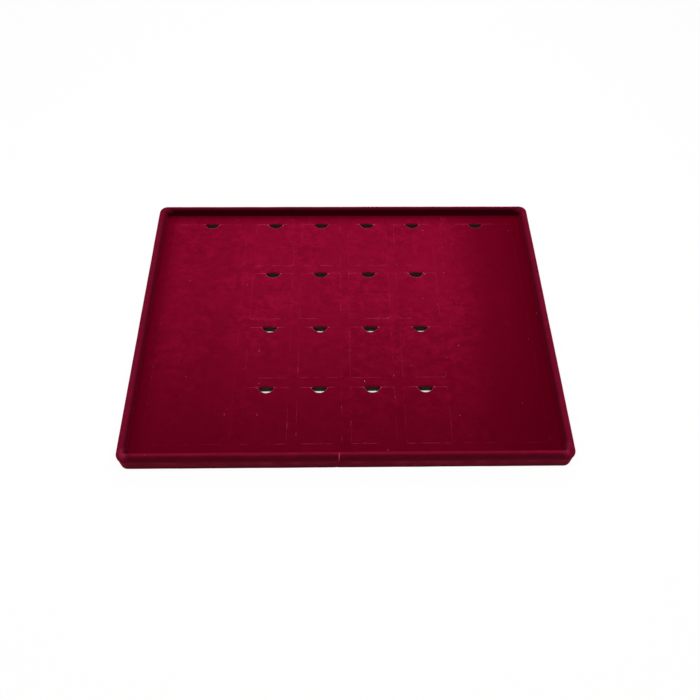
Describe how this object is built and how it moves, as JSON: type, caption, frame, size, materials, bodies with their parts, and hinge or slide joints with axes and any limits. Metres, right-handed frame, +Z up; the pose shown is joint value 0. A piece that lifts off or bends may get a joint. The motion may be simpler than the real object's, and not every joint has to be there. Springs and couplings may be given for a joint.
{
  "type": "coin display tray",
  "caption": "Shallow velvet-lined tray with a rounded rim; its flush floor is divided into lift-out pads, each with a half-round thumb notch, so slabbed coins can sit in the pockets.",
  "frame": {"origin": "middle of the underside, on the surface that the tray stands on", "axes": "+X across the tray to the right, +Y from the front with the seam to the back, +Z up out of the pockets"},
  "size_m": [0.585, 0.442, 0.029],
  "materials": {
    "rim_velvet": "matte",
    "floor_velvet": "matte",
    "pad_velvet": "matte",
    "foam": "matte",
    "base_board": "matte",
    "rail_wood": "matte",
    "felt_lining": "matte"
  },
  "bodies": {
    "tray": {"base_board": "base_board", "bottom_lining": "felt_lining", "rail_front": "rail_wood", "rail_back": "rail_wood", "rail_left": "rail_wood", "rail_right": "rail_wood", "rim_velvet": "rim_velvet", "foam_grid": "foam", "floor_velvet": "floor_velvet"},
    "pad_r1c1": {"pad_foam_r1c1": "foam", "pad_velvet_r1c1": "pad_velvet"},
    "pad_r1c2": {"pad_foam_r1c2": "foam", "pad_velvet_r1c2": "pad_velvet"},
    "pad_r1c3": {"pad_foam_r1c3": "foam", "pad_velvet_r1c3": "pad_velvet"},
    "pad_r1c4": {"pad_foam_r1c4": "foam", "pad_velvet_r1c4": "pad_velvet"},
    "pad_r2c1": {"pad_foam_r2c1": "foam", "pad_velvet_r2c1": "pad_velvet"},
    "pad_r2c2": {"pad_foam_r2c2": "foam", "pad_velvet_r2c2": "pad_velvet"},
    "pad_r2c3": {"pad_foam_r2c3": "foam", "pad_velvet_r2c3": "pad_velvet"},
    "pad_r2c4": {"pad_foam_r2c4": "foam", "pad_velvet_r2c4": "pad_velvet"},
    "pad_r3c1": {"pad_foam_r3c1": "foam", "pad_velvet_r3c1": "pad_velvet"},
    "pad_r3c2": {"pad_foam_r3c2": "foam", "pad_velvet_r3c2": "pad_velvet"},
    "pad_r3c3": {"pad_foam_r3c3": "foam", "pad_velvet_r3c3": "pad_velvet"},
    "pad_r3c4": {"pad_foam_r3c4": "foam", "pad_velvet_r3c4": "pad_velvet"},
    "pad_r4c1": {"pad_foam_r4c1": "foam", "pad_velvet_r4c1": "pad_velvet"},
    "pad_r4c2": {"pad_foam_r4c2": "foam", "pad_velvet_r4c2": "pad_velvet"},
    "pad_r4c3": {"pad_foam_r4c3": "foam", "pad_velvet_r4c3": "pad_velvet"},
    "pad_r4c4": {"pad_foam_r4c4": "foam", "pad_velvet_r4c4": "pad_velvet"},
    "pad_left": {"pad_foam_left": "foam", "pad_velvet_left": "pad_velvet"},
    "pad_right": {"pad_foam_right": "foam", "pad_velvet_right": "pad_velvet"}
  },
  "joints": [
    {"name": "lift_r1c1", "type": "slide", "parent": "tray", "child": "pad_r1c1", "axis": [0, 0, 1], "range_m": [0, 0.03]},
    {"name": "lift_r1c2", "type": "slide", "parent": "tray", "child": "pad_r1c2", "axis": [0, 0, 1], "range_m": [0, 0.03]},
    {"name": "lift_r1c3", "type": "slide", "parent": "tray", "child": "pad_r1c3", "axis": [0, 0, 1], "range_m": [0, 0.03]},
    {"name": "lift_r1c4", "type": "slide", "parent": "tray", "child": "pad_r1c4", "axis": [0, 0, 1], "range_m": [0, 0.03]},
    {"name": "lift_r2c1", "type": "slide", "parent": "tray", "child": "pad_r2c1", "axis": [0, 0, 1], "range_m": [0, 0.03]},
    {"name": "lift_r2c2", "type": "slide", "parent": "tray", "child": "pad_r2c2", "axis": [0, 0, 1], "range_m": [0, 0.03]},
    {"name": "lift_r2c3", "type": "slide", "parent": "tray", "child": "pad_r2c3", "axis": [0, 0, 1], "range_m": [0, 0.03]},
    {"name": "lift_r2c4", "type": "slide", "parent": "tray", "child": "pad_r2c4", "axis": [0, 0, 1], "range_m": [0, 0.03]},
    {"name": "lift_r3c1", "type": "slide", "parent": "tray", "child": "pad_r3c1", "axis": [0, 0, 1], "range_m": [0, 0.03]},
    {"name": "lift_r3c2", "type": "slide", "parent": "tray", "child": "pad_r3c2", "axis": [0, 0, 1], "range_m": [0, 0.03]},
    {"name": "lift_r3c3", "type": "slide", "parent": "tray", "child": "pad_r3c3", "axis": [0, 0, 1], "range_m": [0, 0.03]},
    {"name": "lift_r3c4", "type": "slide", "parent": "tray", "child": "pad_r3c4", "axis": [0, 0, 1], "range_m": [0, 0.03]},
    {"name": "lift_r4c1", "type": "slide", "parent": "tray", "child": "pad_r4c1", "axis": [0, 0, 1], "range_m": [0, 0.03]},
    {"name": "lift_r4c2", "type": "slide", "parent": "tray", "child": "pad_r4c2", "axis": [0, 0, 1], "range_m": [0, 0.03]},
    {"name": "lift_r4c3", "type": "slide", "parent": "tray", "child": "pad_r4c3", "axis": [0, 0, 1], "range_m": [0, 0.03]},
    {"name": "lift_r4c4", "type": "slide", "parent": "tray", "child": "pad_r4c4", "axis": [0, 0, 1], "range_m": [0, 0.03]},
    {"name": "lift_left", "type": "slide", "parent": "tray", "child": "pad_left", "axis": [0, 0, 1], "range_m": [0, 0.03]},
    {"name": "lift_right", "type": "slide", "parent": "tray", "child": "pad_right", "axis": [0, 0, 1], "range_m": [0, 0.03]}
  ]
}
